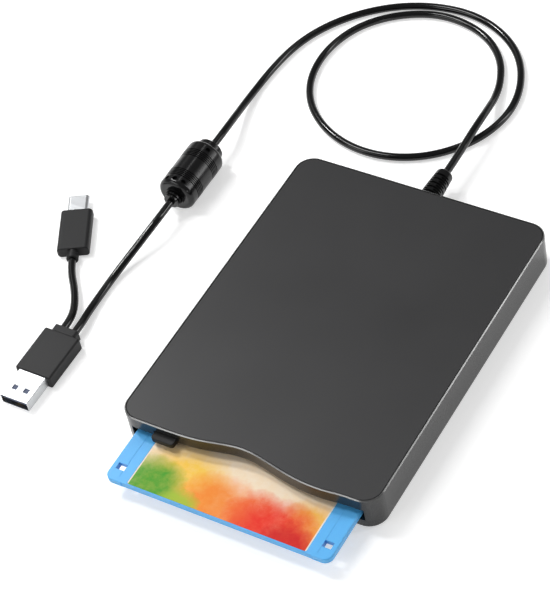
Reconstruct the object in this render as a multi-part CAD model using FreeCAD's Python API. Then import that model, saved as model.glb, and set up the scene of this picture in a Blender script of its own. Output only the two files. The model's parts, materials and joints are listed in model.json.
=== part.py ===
"""External 3.5 inch floppy disk drive with a diskette half ejected, its USB cord, ferrite bead and plugs.

Frame: millimetres, origin under the middle of the case on the surface it stands on,
+X to the right seen from the front, +Y to the back, +Z up. The slot is in the front, at -Y.
"""
import FreeCAD, Part
import math
import os

V = FreeCAD.Vector
X_AXIS = V(1, 0, 0)
Y_AXIS = V(0, 1, 0)
Z_AXIS = V(0, 0, 1)

# ------------------------------------------------------------------ driving dimensions, mm

# case
case_w = 103.0
case_l = 135.4
case_h = 14.4
corner_r = 7.0
wall = 1.8
floor_t = 1.2
lid_t = 1.2
rim_chamfer = 0.35
rim_w = 0.5
lid_gap = 0.25
bottom_round = 0.7
foot_h = 1.0
foot_r = 4.4
foot_sink = 0.5
foot_inset_x = 12.0
foot_inset_y = 13.0
label_bay = (58.0, 34.0, 0.2)
# wave of the front wall above the slot: distance from the middle, depth behind the front line
front_wave = ((-42, 0), (-28, 0.1), (-18, 0.9), (-8, 2.9), (-1.5, 3.5), (8, 2.1), (17, 0.2), (25.5, -0.8),
              (33, -0.7), (42, 0))
hook_w = 5.0
hook_t = 1.0
hook_drop = 2.6
hook_barb = 0.5
hook_x = 41.0
lid_post_inset = (5.7, 7.7)
lid_post_r = 2.6
screw_r_m2 = 1.0
screw_head_r = 2.0
screw_head_h = 0.9

# diskette
disk_w = 90.0
disk_l = 94.0
disk_t = 3.3
disk_corner_r = (3.2, 1.6)
disk_key = 4.0
disk_wall = 0.8
disk_chamfer = 0.35
disk_bevel = 1.2
disk_thumb = (38.0, 0.3)
disk_groove = (39.7, 0.3, 0.06)
disk_out = 21.7
disk_travel = 22.5
disk_z = 5.1
hub_from_rear = 46.0
hub_r = 12.4
media_r = 42.8
media_t = 0.1
media_gap = 0.6
hub_t = 1.4
window_w = 11.0
window_r = (21.0, 42.2)
shutter_t = 0.25
shutter_l = 26.0
shutter_travel = 16.0
shutter_rim = 2.5
notch_d = 1.8
label_w = 71.6
label_l = 52.0
label_edge = 0.8
label_t = 0.12
sense_hole = (3.5, 2.7)
sense_x = 41.3
sense_y = 6.2
sense_flare = (0.5, 1.2)
tab_travel = 3.4

# slot and eject button
slot_w = 93.0
slot_gap_low = 0.2
slot_gap_high = 2.0
button_w = 9.2
button_h = 2.3
button_x = -31.9
button_out = 2.9
button_lift = 0.45
button_press = 3.0
button_gap = 0.25

# mechanism
sheet = 0.5
chassis_gap = 1.5
chassis_front_gap = 5.2
chassis_screw_inset = (5.2, 10.5, 6.3)
boss_h = 0.9
boss_r = 2.4
holder_gap_side = 0.7
holder_gap_top = 0.4
holder_pin_r = 0.75
shield_drop = 0.8
slide_gap = 0.2
spring_r = 1.1
spring_wire_r = 0.18
ear_t = 1.2
stud_r = 0.9
stud_slot_r = 1.1
rotor_r = 20.0
rotor_t = 0.3
shaft_r = 2.0
fit_gap = 0.04
track_0_r = 39.5
head_travel = 14.8
screw_x = 10.0
screw_z = 8.3
screw_r = 1.25
screw_pitch = 3.75
stepper_r = 4.3
stepper_l = 10.0
rod_x_place = -6.5
rod_z = 6.6
rod_r = 1.0
pin_r = 0.8
board_t = 0.8
board_z = 5.0
board_edge_gap = 1.2
board_l = 18.5
lead_socket = (7.0, 3.5, 3.0)
ribbon_plug = (12.0, 2.5, 2.0)
block_l = 7.4

# cord, bead and plugs
cord_r = 1.5
relief_x = -0.8
relief_z = 7.5
relief_l = 16.6
relief_base_r = 4.25
relief_tip_r = 3.3
relief_neck_r = 3.0
relief_flange_r = 4.4
relief_slots = 5
relief_pitch = 2.3
relief_slot_w = 0.7
relief_slot_d = 1.1
relief_web = 2.6
bead_r = 7.6
bead_x = -92.0
bead_y = (32.8, 63.2)
bead_body_y = (36.0, 60.1)
bead_collar_r = 5.2
# front boss of the bead: how far each rib starts from the front end, and its radius
bead_ribs = ((0.0, 3.0), (1.15, 3.5), (2.3, 4.0))
bead_rib_w = 0.8
bead_rib_d = 0.6
bead_ring_starts = (40.4, 51.2)
bead_ring_w = 0.4
bead_ring_d = 0.4
bead_ring_count = 5
bead_shoulder = 1.9
# dimples of the bead: place along it, and angles up about it from its right side
bead_dimples = ((38.4, (62, 91, 120)), (56.6, (61,)))
bead_dimple_r = 1.0
plug_a_x = -96.7
plug_a_front = -58.3
plug_a_size = (15.3, 20.6, 5.8)
plug_a_block = (10.2, 2.8, 5.3)
plug_a_round = 0.7
cord_spread = 5.0
shell_a = (12.0, 12.7, 4.5)
shell_a_hole = (2.2, 2.45, 4.9)
shell_t = 0.3
shell_grip = 4.0
plug_c_rear = (-117.1, -0.2)
plug_c_turn = 28.0
plug_c_size = (12.4, 20.5, 4.8)
plug_c_round = (1.5, 0.5)
plug_c_neck = (1.9, 1.4)
plug_c_ring = (2.35, 2.4)
shell_c = (8.25, 8.2, 2.4)

# ------------------------------------------------------------------ derived places

front = -case_l / 2
back = case_l / 2
z_bottom = foot_h
z_top = foot_h + case_h
z_floor = z_bottom + floor_t
z_lid = z_top - lid_t
z_rim = z_top - rim_chamfer
inner_x = case_w / 2 - wall
inner_back = back - wall

disk_top = disk_z + disk_t
disk_mid = disk_z + disk_t / 2
disk_front = front - disk_out
disk_rear = disk_front + disk_l
loaded_rear = disk_rear + disk_travel
disk_hub_y = disk_rear - hub_from_rear
spindle_y = disk_hub_y + disk_travel

slot_z = (disk_z - slot_gap_low, disk_top + slot_gap_high)
z_chassis = z_floor + boss_h
z_deck = z_chassis + sheet
z_holder = disk_top + holder_gap_top
z_holder_top = z_holder + sheet
z_slide = z_holder_top + slide_gap
z_slide_top = z_slide + sheet
button_z = (z_slide_top, z_slide_top + button_h)
spring_z = z_holder_top + 1.7
ear_top = spring_z + 1.2
z_shield = z_lid - shield_drop
holder_x = disk_w / 2 + holder_gap_side + sheet
chassis_x = inner_x - chassis_gap
flange_x = (holder_x + 0.4, holder_x + 0.4 + sheet)

shutter_left = -window_w / 2 - 3.0
shutter_right = shutter_travel + window_w / 2 + shutter_rim
notch_right = shutter_right + 2 * pin_r + 2.0
opener_x = shutter_right + pin_r + 0.15
opener_y = disk_rear - notch_d / 2 - 0.05
opener_shift = (-shutter_travel, disk_travel)

head_y = spindle_y + track_0_r
holder_rear = loaded_rear + 1.2
block_y = (holder_rear + head_travel + 1.8, holder_rear + head_travel + 1.8 + block_l)
screw_start = block_y[0] - head_travel - 0.6
bracket_y = (screw_start - 0.9, screw_start - 0.1)
pivot_y = block_y[0] + 3.5
stepper_y = (block_y[1] + 1.1, block_y[1] + 1.1 + stepper_l)

plug_a_rear = plug_a_front + plug_a_size[1] + plug_a_block[1]
plug_a_z = plug_a_size[2] / 2
cord_entry_x = plug_a_x + cord_spread / 2
pigtail_entry_x = plug_a_x - cord_spread / 2
shell_a_z = (plug_a_z - shell_a[2] / 2, plug_a_z + shell_a[2] / 2)
tongue_a_z = shell_a_z[1] - 2.2
plug_c_z = plug_c_size[2] / 2
plug_c_collar = plug_c_neck[1] + plug_c_ring[1]
bead_core_y = (bead_body_y[0] + 4.0, bead_body_y[1] - 4.0)
bead_core_r = bead_r - 1.5

feet_places = [(sx * (case_w / 2 - foot_inset_x), sy * (case_l / 2 - foot_inset_y))
               for sx in (-1, 1) for sy in (-1, 1)]
lid_post_places = [(sx * (inner_x - lid_post_inset[0]), back - lid_post_inset[1]) for sx in (-1, 1)]
chassis_y = (front + chassis_front_gap, block_y[1])
chassis_screw_y = (chassis_y[0] + chassis_screw_inset[1], chassis_y[1] - chassis_screw_inset[2])
chassis_screw_places = [(sx * (chassis_x - chassis_screw_inset[0]), y)
                        for sx in (-1, 1) for y in chassis_screw_y]
holder_pin_y = (-40.0, 20.0)
post_y = (-27.0, 13.0)
side_wall_rear = holder_rear + 1.7
slide_stud_places = [(-34.0, -52.0), (-34.0, -16.0)]
ejector_stud = (38.0, -3.0)

board_y = (chassis_y[1] - 1.8 - board_l, chassis_y[1] - 1.8)
drive_board_x = (screw_x + 8.5, chassis_x - board_edge_gap)
bridge_board_x = (board_edge_gap - chassis_x, rod_x_place - 5.5)
ribbon_plug_y = board_y[1] - 3.0
ribbon_plug_x = (bridge_board_x[0] + 11.0, drive_board_x[0] + 10.5)
lead_socket_x = bridge_board_x[1] - 8.0

pole_count = 12
pole_r = rotor_r - 2.0
drive_pin_x = 8.5
pivot_z = 11.1
upper_head_z = disk_top + 0.5
ejector_tab_x = (28.5, 32.5)
ejector_ear_x = (ejector_stud[0] - 1.6, ejector_stud[0] + 1.6)
ejector_ear_y = ejector_stud[1] - disk_travel - 4.0
ejector_spring_y = (front + 13.9, ejector_ear_y)
eject_spring_ear_x = (-23.6, -20.4)
eject_spring_y = (-44.8, -24.0)
tab_slot_w = sense_hole[0] + 0.7
sense_span = (disk_front + sense_y - sense_hole[1] / 2, disk_front + sense_y + sense_hole[1] / 2)
tab_slot_y = (sense_span[1] + 0.8 - 6.7, sense_span[1] + 0.8)

# ------------------------------------------------------------------ helpers


def box(x, y, z):
    """A block between two limits along each axis."""
    return Part.makeBox(x[1] - x[0], y[1] - y[0], z[1] - z[0], V(x[0], y[0], z[0]))


def disc(x, y, z, r):
    """An upright cylinder between two heights."""
    return Part.makeCylinder(r, z[1] - z[0], V(x, y, z[0]), Z_AXIS)


def rod_along_y(x, z, y, r):
    return Part.makeCylinder(r, y[1] - y[0], V(x, y[0], z), Y_AXIS)


def rod_along_x(y, z, x, r):
    return Part.makeCylinder(r, x[1] - x[0], V(x[0], y, z), X_AXIS)


def prism(points, z):
    """A polygon in plan, between two heights."""
    corners = [V(x, y, z[0]) for x, y in points]
    face = Part.Face(Part.makePolygon(corners + corners[:1]))
    return face.extrude(V(0, 0, z[1] - z[0]))


def stadium(a, b, r, z):
    """A slot-shaped prism whose round ends are centred on a and b."""
    along = V(b[0] - a[0], b[1] - a[1], 0)
    side = V(-along.y, along.x, 0).normalize() * r
    ends = [V(a[0], a[1], z[0]), V(b[0], b[1], z[0])]
    corners = [ends[0] + side, ends[0] - side, ends[1] - side, ends[1] + side]
    face = Part.Face(Part.makePolygon(corners + corners[:1]))
    body = face.extrude(V(0, 0, z[1] - z[0]))
    return body.fuse([disc(end.x, end.y, z, r) for end in ends]).removeSplitter()


def rounded(shape, r, axis, where=None):
    """Fillets the straight edges that lie along an axis, or those of them that where() picks."""
    picked = []
    for edge in shape.Edges:
        if not isinstance(edge.Curve, Part.Line):
            continue
        along = abs((edge.Vertexes[1].Point - edge.Vertexes[0].Point).normalize().dot(axis))
        if along > 0.999 and (where is None or where(edge.CenterOfMass)):
            picked.append(edge)
    return shape.makeFillet(r, picked)


def rounded_box(x, y, z, r, axis):
    return rounded(box(x, y, z), r, axis)


def mirrored(shape):
    """The same shape on the other side of the middle plane."""
    return shape.mirror(V(0, 0, 0), X_AXIS)


def coil_spring(start, end, turns):
    """A helical spring along Y between two points."""
    length = end.y - start.y - 2 * spring_wire_r
    helix = Part.makeHelix(length / turns, length, spring_r)
    section = Part.Wire(Part.makeCircle(spring_wire_r, V(spring_r, 0, 0), Y_AXIS))
    spring = Part.Wire(helix).makePipeShell([section], True, True)
    spring.rotate(V(0, 0, 0), X_AXIS, -90)
    spring.translate(start + V(0, spring_wire_r, 0))
    return spring


def tube(points, r):
    """A round tube along straight runs joined by the largest even arcs; returns it with its radii."""
    edges = []
    radii = []
    start = points[0]
    length = 0.0
    for before, corner, after in zip(points, points[1:], points[2:]):
        arm_in = before - corner
        arm_out = after - corner
        turn = math.pi - arm_in.getAngle(arm_out)
        cut = 0.45 * min(arm_in.Length, arm_out.Length)
        arm_in.normalize()
        arm_out.normalize()
        radius = cut / math.tan(turn / 2)
        enter = corner + arm_in * cut
        leave = corner + arm_out * cut
        bisector = (arm_in + arm_out).normalize()
        centre = corner + bisector * (radius / math.cos(turn / 2))
        middle = centre - bisector * radius
        edges.append(Part.LineSegment(start, enter).toShape())
        edges.append(Part.Arc(enter, middle, leave).toShape())
        length += start.distanceToPoint(enter) + radius * turn
        radii.append(round(radius, 1))
        start = leave
    edges.append(Part.LineSegment(start, points[-1]).toShape())
    length += start.distanceToPoint(points[-1])
    first = (points[1] - points[0]).normalize()
    section = Part.Wire(Part.makeCircle(r, points[0], first))
    solid = Part.Wire(edges).makePipeShell([section], True, False)
    return solid, radii, length


# ------------------------------------------------------------------ case


def case_outline(inset, wavy, z):
    """The case's plan outline, moved in by inset, with or without the wave in its front edge."""
    half = case_w / 2 - inset
    y0 = front + inset
    y1 = back - inset
    r = corner_r - inset
    bulge = r * (1 - math.sqrt(0.5))
    corners = (
        ((-half, y0 + r), (-half + bulge, y0 + bulge), (-half + r, y0)),
        ((half - r, y0), (half - bulge, y0 + bulge), (half, y0 + r)),
        ((half, y1 - r), (half - bulge, y1 - bulge), (half - r, y1)),
        ((-half + r, y1), (-half + bulge, y1 - bulge), (-half, y1 - r)),
    )
    edges = []
    for i, corner in enumerate(corners):
        a, b, c = [V(x, y, z) for x, y in corner]
        edges.append(Part.Arc(a, b, c).toShape())
        n = V(*corners[(i + 1) % 4][0], z)
        if i == 0 and wavy:
            edges += wave_edges(c, n, y0, z)
        else:
            edges.append(Part.LineSegment(c, n).toShape())
    return Part.Wire(edges)


def wave_edges(start, end, y0, z):
    """The front edge with its wave, between the two front corners."""
    points = [V(x, y0 + depth, z) for x, depth in front_wave]
    curve = Part.BSplineCurve()
    curve.interpolate(Points=points, InitialTangent=X_AXIS, FinalTangent=X_AXIS)
    return [
        Part.LineSegment(start, points[0]).toShape(),
        curve.toShape(),
        Part.LineSegment(points[-1], end).toShape(),
    ]


def countersunk(x, y):
    """The cone of a lid screw's head, flush with the bottom of the case."""
    return Part.makeCone(screw_head_r, screw_r_m2, screw_head_h, V(x, y, z_bottom))


def case_slab(inset, wavy, z):
    face = Part.Face(case_outline(inset, wavy, z[0]))
    return face.extrude(V(0, 0, z[1] - z[0]))


def lower_case():
    split = slot_z[1]
    base = case_slab(0, False, (z_bottom, split))
    bottom_edges = [e for e in base.Edges if e.BoundBox.ZMax < z_bottom + 0.01]
    base = base.makeFillet(bottom_round, bottom_edges)
    upper = case_slab(0, True, (split, z_rim))
    rim = Part.makeLoft([case_outline(0, True, z_rim), case_outline(rim_chamfer, True, z_top)], True, True)
    body = base.fuse([upper, rim])
    body = body.cut([
        case_slab(wall, False, (z_floor, split)),
        case_slab(wall, True, (split, z_lid)),
        case_slab(rim_w, True, (z_lid, z_top + 1)),
    ])
    bosses = [disc(x, y, (z_floor, z_chassis), boss_r) for x, y in chassis_screw_places]
    body = body.fuse(bosses)
    reach = (front - 2, front + wall + 5)
    gap = button_gap
    cuts = [
        box((-slot_w / 2, slot_w / 2), reach, slot_z),
        box((button_x - button_w / 2 - gap, button_x + button_w / 2 + gap), reach,
            (slot_z[1] - 1, button_z[1] + gap)),
        rod_along_y(relief_x, relief_z, (inner_back - 1, back + 1), relief_neck_r),
        box((-label_bay[0] / 2, label_bay[0] / 2), (-label_bay[1] / 2, label_bay[1] / 2),
            (z_bottom, z_bottom + label_bay[2])),
    ]
    cuts += [disc(x, y, (z_bottom, z_bottom + foot_sink), foot_r) for x, y in feet_places]
    cuts += [disc(x, y, (z_bottom + 0.6, z_chassis), screw_r_m2) for x, y in chassis_screw_places]
    for x, y in lid_post_places:
        cuts.append(disc(x, y, (z_bottom, z_floor), screw_r_m2))
        cuts.append(countersunk(x, y))
    for side in (-1, 1):
        x = side * hook_x
        cuts.append(box((x - hook_w / 2 - 0.3, x + hook_w / 2 + 0.3),
                        (front + wall - hook_barb - 0.1, front + wall + 0.1),
                        (z_lid - hook_drop - 0.2, z_lid - hook_drop + 1.0)))
    return body.cut(cuts).removeSplitter()


def top_cover():
    inset = rim_w + lid_gap
    edge = 0.15
    plate = case_slab(inset, True, (z_lid, z_top - edge))
    crown = Part.makeLoft([case_outline(inset, True, z_top - edge),
                           case_outline(inset + edge, True, z_top)], True, True)
    pieces = [crown]
    holes = []
    for x, y in lid_post_places:
        pieces.append(disc(x, y, (z_floor, z_lid), lid_post_r))
        holes.append(disc(x, y, (z_floor, z_floor + 7.0), screw_r_m2))
    for side in (-1, 1):
        x = (side * hook_x - hook_w / 2, side * hook_x + hook_w / 2)
        inner = front + wall + 0.15
        pieces.append(box(x, (inner, inner + hook_t), (z_lid - hook_drop, z_lid)))
        pieces.append(box(x, (inner - hook_barb, inner + 0.1),
                          (z_lid - hook_drop, z_lid - hook_drop + 0.7)))
    return plate.fuse(pieces).cut(holes).removeSplitter()


def rubber_feet():
    feet = []
    for x, y in feet_places:
        foot = disc(x, y, (0, z_bottom + foot_sink), foot_r)
        sole = [e for e in foot.Edges if e.BoundBox.ZMax < 0.01]
        feet.append(foot.makeFillet(0.4, sole))
    return Part.makeCompound(feet)


def lid_screws():
    screws = []
    for x, y in lid_post_places:
        screw = countersunk(x, y).fuse(disc(x, y, (z_bottom + screw_head_h, z_floor + 6.5), screw_r_m2))
        slots = [box((x - 1.2, x + 1.2), (y - 0.2, y + 0.2), (z_bottom, z_bottom + 0.5)),
                 box((x - 0.2, x + 0.2), (y - 1.2, y + 1.2), (z_bottom, z_bottom + 0.5))]
        screws.append(screw.cut(slots))
    return Part.makeCompound(screws)


# ------------------------------------------------------------------ mechanism frame


def chassis():
    y = chassis_y
    deck = box((-chassis_x, chassis_x), y, (z_chassis, z_deck))
    tongue = box((rod_x_place - 3, screw_x + 8), (y[1] - 1, stepper_y[1]), (z_chassis, z_deck))
    body = deck.fuse(tongue)
    for side in (-1, 1):
        x = sorted((side * chassis_x, side * (chassis_x - sheet)))
        side_wall = box(x, (y[0], side_wall_rear), (z_chassis, z_holder_top - 0.3))
        posts = [box(x, (p - 3, p + 3), (z_chassis, z_shield)) for p in post_y]
        body = body.fuse([side_wall] + posts)
        for p in holder_pin_y:
            slot = rod_along_x(p, disk_mid, (x[0] - 1, x[1] + 1), holder_pin_r)
            drop = box((x[0] - 1, x[1] + 1), (p - holder_pin_r, p + holder_pin_r), (z_deck + 0.8, disk_mid))
            body = body.cut([slot, drop])
    bearing = screw_bearing()
    rod_ends = [rod_bracket(bracket_y), rod_bracket((block_y[1] + 0.8, block_y[1] + 1.6))]
    body = body.fuse([bearing] + rod_ends)
    cuts = [disc(0, spindle_y, (z_chassis - 1, z_deck + 1), rotor_r + 1.5)]
    cuts += [disc(px, py, (z_chassis - 1, z_deck + 1), 1.05) for px, py in chassis_screw_places]
    return body.cut(cuts).removeSplitter()


def screw_bearing():
    """The bent-up tab that carries the free end of the lead screw."""
    tab = box((screw_x - 3, screw_x + 3), bracket_y, (z_chassis, screw_z + 2.2))
    return tab.cut(rod_along_y(screw_x, screw_z, (bracket_y[0] - 1, bracket_y[1] + 1), 0.6 + fit_gap))


def rod_bracket(y):
    tab = box((rod_x_place - 2, rod_x_place + 2), y, (z_chassis, rod_z + rod_r + 0.8))
    return tab.cut(rod_along_y(rod_x_place, rod_z, (y[0] - 1, y[1] + 1), rod_r))


def chassis_screws():
    screws = []
    for x, y in chassis_screw_places:
        head = disc(x, y, (z_deck, z_deck + 0.6), 1.8)
        slot = box((x - 1.9, x + 1.9), (y - 0.25, y + 0.25), (z_deck + 0.3, z_deck + 0.7))
        screws.append(head.fuse(disc(x, y, (z_bottom + 0.7, z_deck), screw_r_m2)).cut(slot))
    return Part.makeCompound(screws)


def shield_plate():
    z = (z_shield, z_shield + 0.3)
    plate = rounded_box((-chassis_x, chassis_x), (front + 9, side_wall_rear), z, 2.0, Z_AXIS)
    rib = stadium((-25, -20), (-25, 5), 4, (z[0] - 1, z[1] + 1))
    return plate.cut([rib, mirrored(rib)])


def disk_holder():
    """The folded sheet tray that carries the diskette between its top and its two lower lips."""
    y = (front + 6.7, holder_rear)
    inner = holder_x - sheet
    z_lip = (disk_z - 0.1 - sheet, disk_z - 0.1)
    body = box((-holder_x, holder_x), y, (z_holder, z_holder_top))
    for side in (-1, 1):
        wall_x = sorted((side * inner, side * holder_x))
        lip_x = sorted((side * (disk_w / 2 - 5), side * holder_x))
        body = body.fuse([box(wall_x, y, (z_lip[0], z_holder_top)), box(lip_x, y, z_lip)])
        pins = [rod_along_x(p, disk_mid, sorted((side * inner, side * (chassis_x - 0.1))), holder_pin_r)
                for p in holder_pin_y]
        body = body.fuse(pins)
        body = body.cut(box(sorted((side * (inner - 1), side * inner)), y, (z_lip[1], z_holder)))
    through = (z_holder - 1, z_holder_top + 1)
    slot_r = pin_r + 0.3
    end = (opener_x + opener_shift[0], opener_y + opener_shift[1])
    cuts = [
        box((-6.5, 6.5), (spindle_y + window_r[0] - 2, y[1] + 1), through),
        stadium((opener_x, opener_y), end, slot_r, through),
        box((ejector_tab_x[0] - 0.3, ejector_tab_x[1] + 0.3),
            (disk_rear - 0.3, y[1] + 1), through),
    ]
    body = body.cut(cuts)
    studs = []
    for x, y0 in slide_stud_places + [ejector_stud]:
        studs.append(disc(x, y0, (z_holder_top, z_slide_top + 0.15), stud_r))
        studs.append(disc(x, y0, (z_slide_top + 0.15, z_slide_top + 0.6), 2.0))
    z_ear = (z_holder_top - 0.1, ear_top)
    ears = [box(eject_spring_ear_x, (eject_spring_y[1], eject_spring_y[1] + ear_t), z_ear),
            box(ejector_ear_x, (ejector_spring_y[0] - ear_t, ejector_spring_y[0]), z_ear)]
    return body.fuse(studs + ears).removeSplitter()


# ------------------------------------------------------------------ spindle motor


def motor_board():
    y = (spindle_y - rotor_r - 7, spindle_y + rotor_r + 4)
    plate = box((-rotor_r - 7, rotor_r + 7), y, (z_chassis - 0.6, z_chassis))
    return plate.cut(disc(0, spindle_y, (z_chassis - 1, z_chassis + 1), 4.0))


def motor_bearing():
    sleeve = disc(0, spindle_y, (z_chassis - 0.6, z_deck + 0.3), 4.0)
    return sleeve.cut(disc(0, spindle_y, (0, 10), shaft_r + fit_gap))


def motor_stator():
    z = (z_deck - 0.3, z_deck + 0.1)
    ring = disc(0, spindle_y, (z_chassis, z_deck + 0.3), 7.0)
    arms = []
    for i in range(pole_count):
        arm = box((5.0, pole_r), (-1.1, 1.1), z)
        tip = box((pole_r - 1.0, pole_r), (-3.0, 3.0), z)
        pole = arm.fuse(tip)
        pole.rotate(V(0, 0, 0), Z_AXIS, i * 360.0 / pole_count)
        pole.translate(V(0, spindle_y, 0))
        arms.append(pole)
    core = ring.fuse(arms)
    return core.cut(disc(0, spindle_y, (0, 10), 4.0)).removeSplitter()


def stator_coils():
    z = (z_deck - 0.3, z_deck + 0.1)
    coils = []
    for i in range(pole_count):
        coil = box((8.5, pole_r - 1.6), (-2.0, 2.0), (z[0] - 0.2, z[1] + 0.2))
        coil = coil.cut(box((8.0, pole_r), (-1.1, 1.1), z))
        coil.rotate(V(0, 0, 0), Z_AXIS, i * 360.0 / pole_count)
        coil.translate(V(0, spindle_y, 0))
        coils.append(coil)
    return Part.makeCompound(coils)


def rotor():
    z_plate = (disk_z - 0.8, disk_z - 0.8 + rotor_t)
    plate = disc(0, spindle_y, z_plate, rotor_r)
    skirt = disc(0, spindle_y, (z_deck - 0.3, z_plate[1]), rotor_r)
    skirt = skirt.cut(disc(0, spindle_y, (0, z_plate[0]), rotor_r - 0.6))
    body = plate.fuse(skirt)
    body = body.cut(disc(0, spindle_y, (0, 10), shaft_r))
    pin_hole = disc(drive_pin_x, spindle_y, (0, 10), 0.9)
    return body.cut(pin_hole).removeSplitter()


def rotor_magnet():
    z = (z_deck - 0.25, disk_z - 0.8)
    ring = disc(0, spindle_y, z, rotor_r - 0.6)
    return ring.cut(disc(0, spindle_y, (0, 10), rotor_r - 1.6))


def spindle_shaft():
    shaft = disc(0, spindle_y, (z_floor + 0.2, disk_z - 0.2), shaft_r)
    top = [e for e in shaft.Edges if e.BoundBox.ZMin > disk_z - 0.3]
    return shaft.makeChamfer(0.3, top)


def drive_pin():
    return disc(drive_pin_x, spindle_y, (disk_z - 0.8, disk_z - 0.2), 0.9)


# ------------------------------------------------------------------ head carriage


def stepper_motor():
    can = rod_along_y(screw_x, screw_z, stepper_y, stepper_r)
    plate = box((screw_x - 7, screw_x + 7), (stepper_y[0] - 0.8, stepper_y[0]), (z_deck, screw_z + 3.5))
    pads = box((screw_x - 2.5, screw_x + 2.5), (stepper_y[0], stepper_y[1]), (z_deck, screw_z - 2))
    body = can.fuse([plate, pads])
    return body.cut(rod_along_y(screw_x, screw_z, (stepper_y[0] - 1, stepper_y[1] - 1),
                                screw_r + fit_gap)).removeSplitter()


def lead_screw():
    shaft = rod_along_y(screw_x, screw_z, (screw_start, stepper_y[1] - 1.5), screw_r)
    tip = rod_along_y(screw_x, screw_z, (bracket_y[0] - 0.1, screw_start), 0.6)
    return shaft.fuse(tip).removeSplitter()


def guide_rod():
    return rod_along_y(rod_x_place, rod_z, (bracket_y[0], block_y[1] + 1.6), rod_r)


def head_carriage():
    z = (z_deck + 0.3, pivot_z - 1.7)
    block = box((rod_x_place - 2.8, screw_x + 2.8), block_y, z)
    hump = box((screw_x - 2.8, screw_x + 2.8), block_y, (z[0], screw_z + 2.4))
    arm = box((-4.5, 4.5), (head_y - 3.9, block_y[0] + 1), (z[0], z[0] + 0.6))
    ears = [box((x, x + 1.0), (pivot_y - 1.5, pivot_y + 1.5), (z[1] - 1, pivot_z + 1.3))
            for x in (-6.2, 5.2)]
    seat = box((-2, 2), (block_y[1] - 1.8, block_y[1]), (z[1] - 1, pivot_z + 0.9))
    body = block.fuse([hump, arm, seat] + ears)
    cuts = [
        rod_along_y(rod_x_place, rod_z, (block_y[0] - 1, block_y[1] + 1), rod_r + fit_gap),
        rod_along_y(screw_x, screw_z, (block_y[0] - 1, block_y[1] + 1), screw_r + fit_gap),
        rod_along_x(pivot_y, pivot_z, (-7, 7), 0.5),
    ]
    return body.cut(cuts).removeSplitter()


def lower_head():
    return rounded_box((-3.0, 3.0), (head_y - 2.5, head_y + 2.5), (z_deck + 0.9, disk_z - 0.2), 0.8, Z_AXIS)


def arm_pivot_pin():
    return rod_along_x(pivot_y, pivot_z, (-6.6, 6.6), 0.5)


def arm_spring():
    """The leaf spring that presses the upper head arm down."""
    z = pivot_z + 0.9
    return box((-1.5, 1.5), (head_y + 8, block_y[1]), (z, z + 0.15))


def upper_head_arm():
    z = (pivot_z - 0.6, pivot_z + 0.5)
    plate = prism([(-3.6, head_y - 2.5), (3.6, head_y - 2.5), (4.5, head_y + 8), (4.5, pivot_y),
                   (-4.5, pivot_y), (-4.5, head_y + 8)], z)
    knuckle = rod_along_x(pivot_y, pivot_z, (-4.9, 4.9), 0.85)
    post = box((-1.5, 1.5), (head_y - 1.2, head_y + 1.2), (upper_head_z + 0.9, z[0]))
    body = plate.fuse([knuckle, post])
    return body.cut(rod_along_x(pivot_y, pivot_z, (-6, 6), 0.5 + fit_gap)).removeSplitter()


def upper_head():
    z = (upper_head_z, upper_head_z + 0.9)
    return rounded_box((-3.0, 3.0), (head_y - 1.5, head_y + 1.5), z, 0.6, Z_AXIS)


# ------------------------------------------------------------------ eject and load slides


def eject_slide():
    z = (z_slide, z_slide_top)
    plate = box((1.7 - holder_x, slide_stud_places[0][0] + 10.0),
                (front + 6.2, slide_stud_places[1][1] + 8.0), z)
    tongue = box((button_x - 4, button_x + 4), (front + 3.2, front + 7), z)
    strip_y = (holder_pin_y[0] - 10.0, holder_pin_y[1] + 6.0)
    strip = box((-flange_x[1], 2.2 - holder_x), strip_y, z)
    flange = box((-flange_x[1], -flange_x[0]), strip_y, (disk_z + 0.3, z[1]))
    ear_y = (eject_spring_y[0] - ear_t, eject_spring_y[0])
    ear = box(eject_spring_ear_x, ear_y, (z[0], ear_top))
    arm = box((eject_spring_ear_x[0] - 0.9, eject_spring_ear_x[1]), ear_y, z)
    peg = disc(button_x, front + 6.2, (z[1] - 0.2, z[1] + 1.1), 1.0)
    body = plate.fuse([tongue, strip, flange, ear, arm, peg])
    cuts = []
    for x, y in slide_stud_places:
        cuts.append(stadium((x, y - button_press - 0.2), (x, y + 5.0), stud_slot_r, (z[0] - 1, z[1] + 1)))
    for p in holder_pin_y:
        cuts.append(cam_slot(p))
    return body.cut(cuts).removeSplitter()


def cam_slot(y):
    """A level stretch as long as the button's stroke, and a slope that lets the holder down."""
    r = holder_pin_r + 0.2
    top = disk_mid + r
    low = disk_mid - r
    points = [(y - button_press - r, low), (y + r, low), (y + r + 2.2, low - 0.5), (y + 5.5, low - 0.5),
              (y + 5.5, top - 0.5), (y + r + 1.0, top), (y - button_press - r, top)]
    corners = [V(-flange_x[1] - 1, a, b) for a, b in points]
    face = Part.Face(Part.makePolygon(corners + corners[:1]))
    return face.extrude(V(sheet + 2, 0, 0))


def eject_button():
    x = (button_x - button_w / 2, button_x + button_w / 2)
    y = (front - button_out, front + 8.4)
    body = box(x, y, button_z)
    body = rounded(body, 1.1, Z_AXIS, lambda p: p.y < front)
    undercut = box((x[0] - 1, x[1] + 1), (y[0] - 1, front - 0.3),
                   (button_z[0] - 1, button_z[0] + button_lift))
    body = body.cut(undercut)
    outer_rim = [e for e in body.Edges if e.BoundBox.ZMin > button_z[1] - 0.01 and e.CenterOfMass.y < front]
    body = body.makeChamfer(0.25, outer_rim)
    hole = disc(button_x, front + 6.2, (button_z[0] - 1, button_z[0] + 1.1), 1.0)
    return body.cut(hole)


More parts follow.
